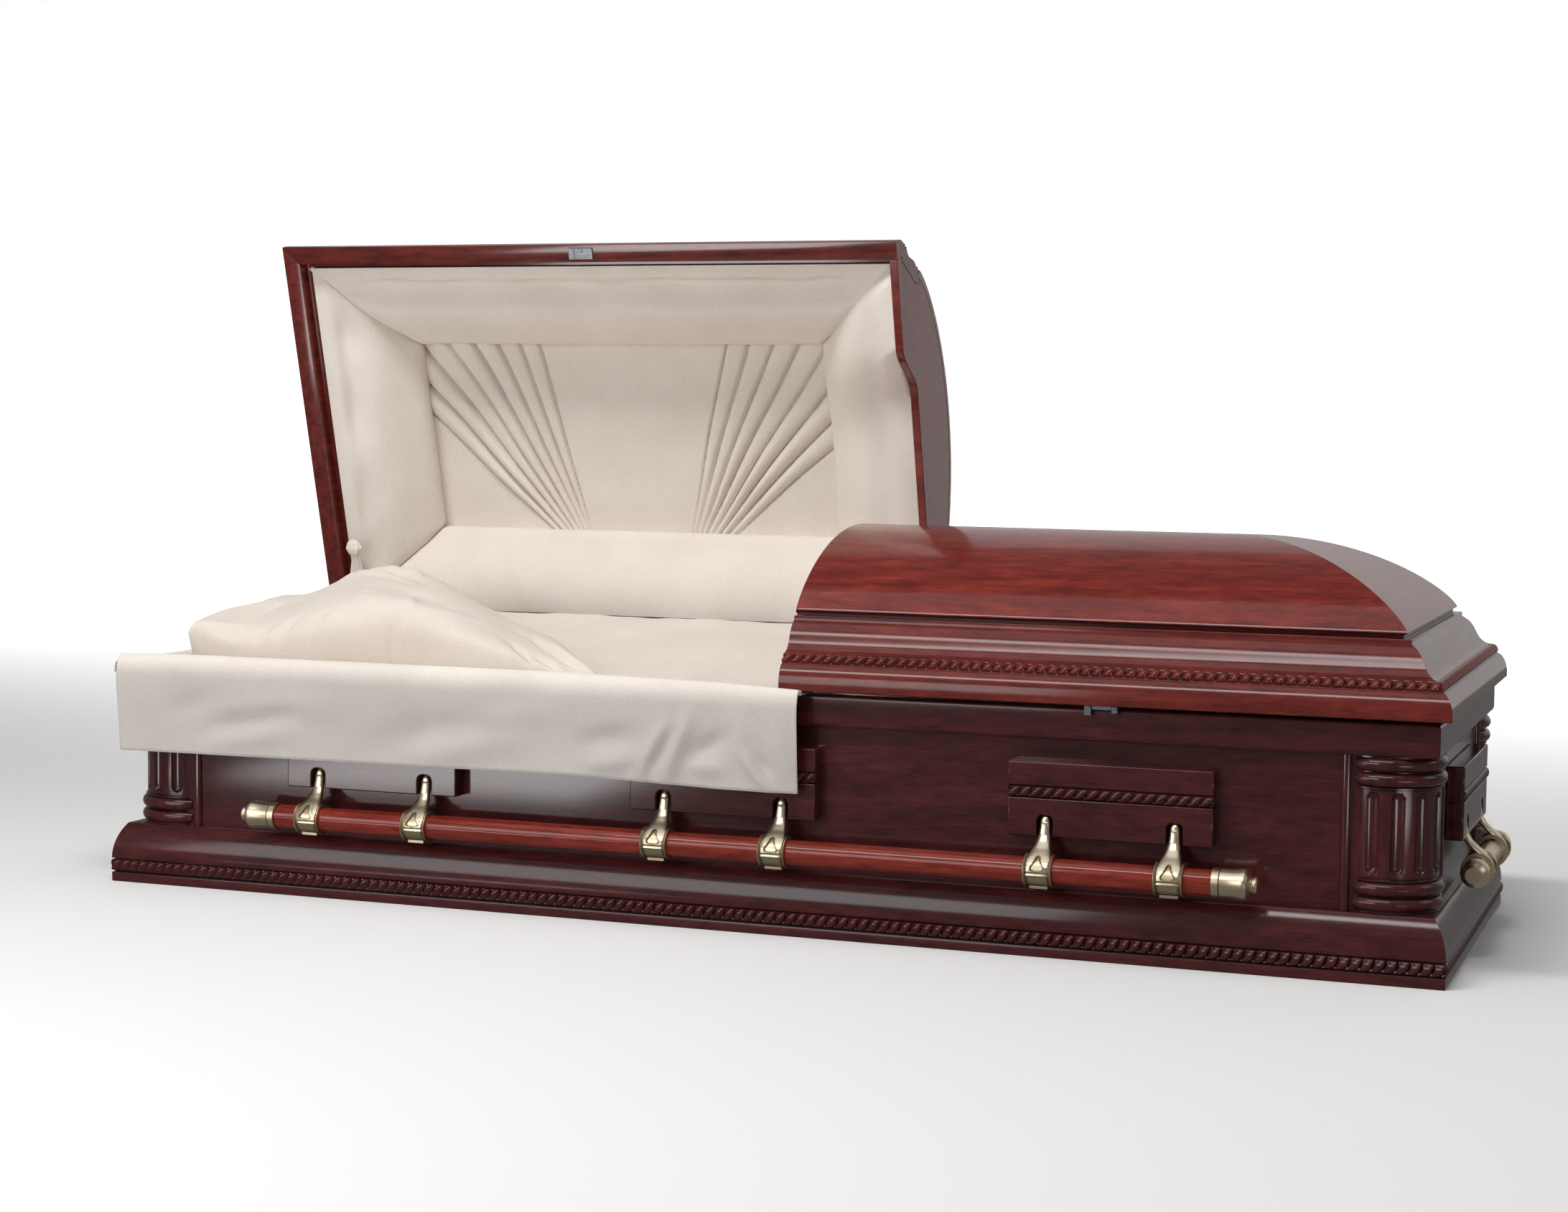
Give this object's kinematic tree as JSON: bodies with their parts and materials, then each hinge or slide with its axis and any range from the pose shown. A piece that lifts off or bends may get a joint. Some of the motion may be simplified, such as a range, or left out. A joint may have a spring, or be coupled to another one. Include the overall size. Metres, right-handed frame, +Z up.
{
  "type": "funeral casket",
  "caption": "Half-couch wooden funeral casket with a hinged head and foot lid, cloth lining, mattress, pillow and front apron, fluted corner columns, rope mouldings and swing-bar handles.",
  "frame": {"origin": "middle of the underside, on the floor", "axes": "+X along the length towards the foot end, -Y towards the viewing side, +Z up"},
  "size_m": [2.174, 0.8929, 1.0478],
  "materials": {
    "wood": "gloss lacquer",
    "bar_wood": "gloss lacquer",
    "brass": "antique, polished high spots",
    "steel": "plain",
    "cloth": "soft matt crepe"
  },
  "bodies": {
    "casket": {"bottom_board": "wood", "side_panel_front": "wood", "side_panel_back": "wood", "end_panel_head": "wood", "end_panel_foot": "wood", "base_moulding_front": "wood", "base_moulding_foot": "wood", "base_moulding_back": "wood", "base_moulding_head": "wood", "top_rail": "wood", "corner_post_front_foot": "wood", "corner_post_back_foot": "wood", "corner_post_back_head": "wood", "corner_post_front_head": "wood", "handle_block_front_1": "wood", "handle_block_front_2": "wood", "handle_block_front_3": "wood", "handle_block_back_1": "wood", "handle_block_back_2": "wood", "handle_block_back_3": "wood", "handle_block_head": "wood", "handle_block_foot": "wood", "mattress": "cloth", "body_lining": "cloth", "pillow": "cloth", "apron": "cloth", "lid_hinge": "brass"},
    "head_lid": {"head_lid_frame_front": "wood", "head_lid_frame_back": "wood", "head_lid_frame_end": "wood", "head_lid_crown": "wood", "head_lid_lining": "cloth", "head_lid_panel": "cloth", "head_lid_strike": "steel"},
    "foot_lid": {"foot_lid_frame_front": "wood", "foot_lid_frame_back": "wood", "foot_lid_frame_end": "wood", "foot_lid_crown": "wood", "foot_lid_lining": "cloth", "foot_lid_latch": "steel"},
    "front_handle": {"front_bar": "bar_wood", "front_bar_tip_left": "brass", "front_bar_tip_right": "brass", "front_arm_1": "brass", "front_arm_2": "brass", "front_arm_3": "brass", "front_arm_4": "brass", "front_arm_5": "brass", "front_arm_6": "brass"},
    "back_handle": {"back_bar": "bar_wood", "back_bar_tip_left": "brass", "back_bar_tip_right": "brass", "back_arm_1": "brass", "back_arm_2": "brass", "back_arm_3": "brass", "back_arm_4": "brass", "back_arm_5": "brass", "back_arm_6": "brass"},
    "head_handle": {"head_bail": "brass"},
    "foot_handle": {"foot_bail": "brass"}
  },
  "joints": [
    {"name": "head_lid_hinge", "type": "hinge", "parent": "casket", "child": "head_lid", "pos_m": [0, 0.352, 0.3585], "axis": [-1, 0, 0], "range_deg": [-75, 0], "deforming": ["pillow"]},
    {"name": "foot_lid_hinge", "type": "hinge", "parent": "casket", "child": "foot_lid", "pos_m": [0, 0.352, 0.3585], "axis": [-1, 0, 0], "range_deg": [0, 75]},
    {"name": "front_handle_swing", "type": "hinge", "parent": "casket", "child": "front_handle", "pos_m": [0, -0.344, 0.194], "axis": [-1, 0, 0], "range_deg": [0, 75]},
    {"name": "back_handle_swing", "type": "hinge", "parent": "casket", "child": "back_handle", "pos_m": [0, 0.344, 0.194], "axis": [1, 0, 0], "range_deg": [0, 75]},
    {"name": "foot_handle_swing", "type": "hinge", "parent": "casket", "child": "foot_handle", "pos_m": [1.0395, 0, 0.194], "axis": [0, -1, 0], "range_deg": [0, 75]},
    {"name": "head_handle_swing", "type": "hinge", "parent": "casket", "child": "head_handle", "pos_m": [-1.0395, 0, 0.194], "axis": [0, 1, 0], "range_deg": [0, 75]}
  ]
}
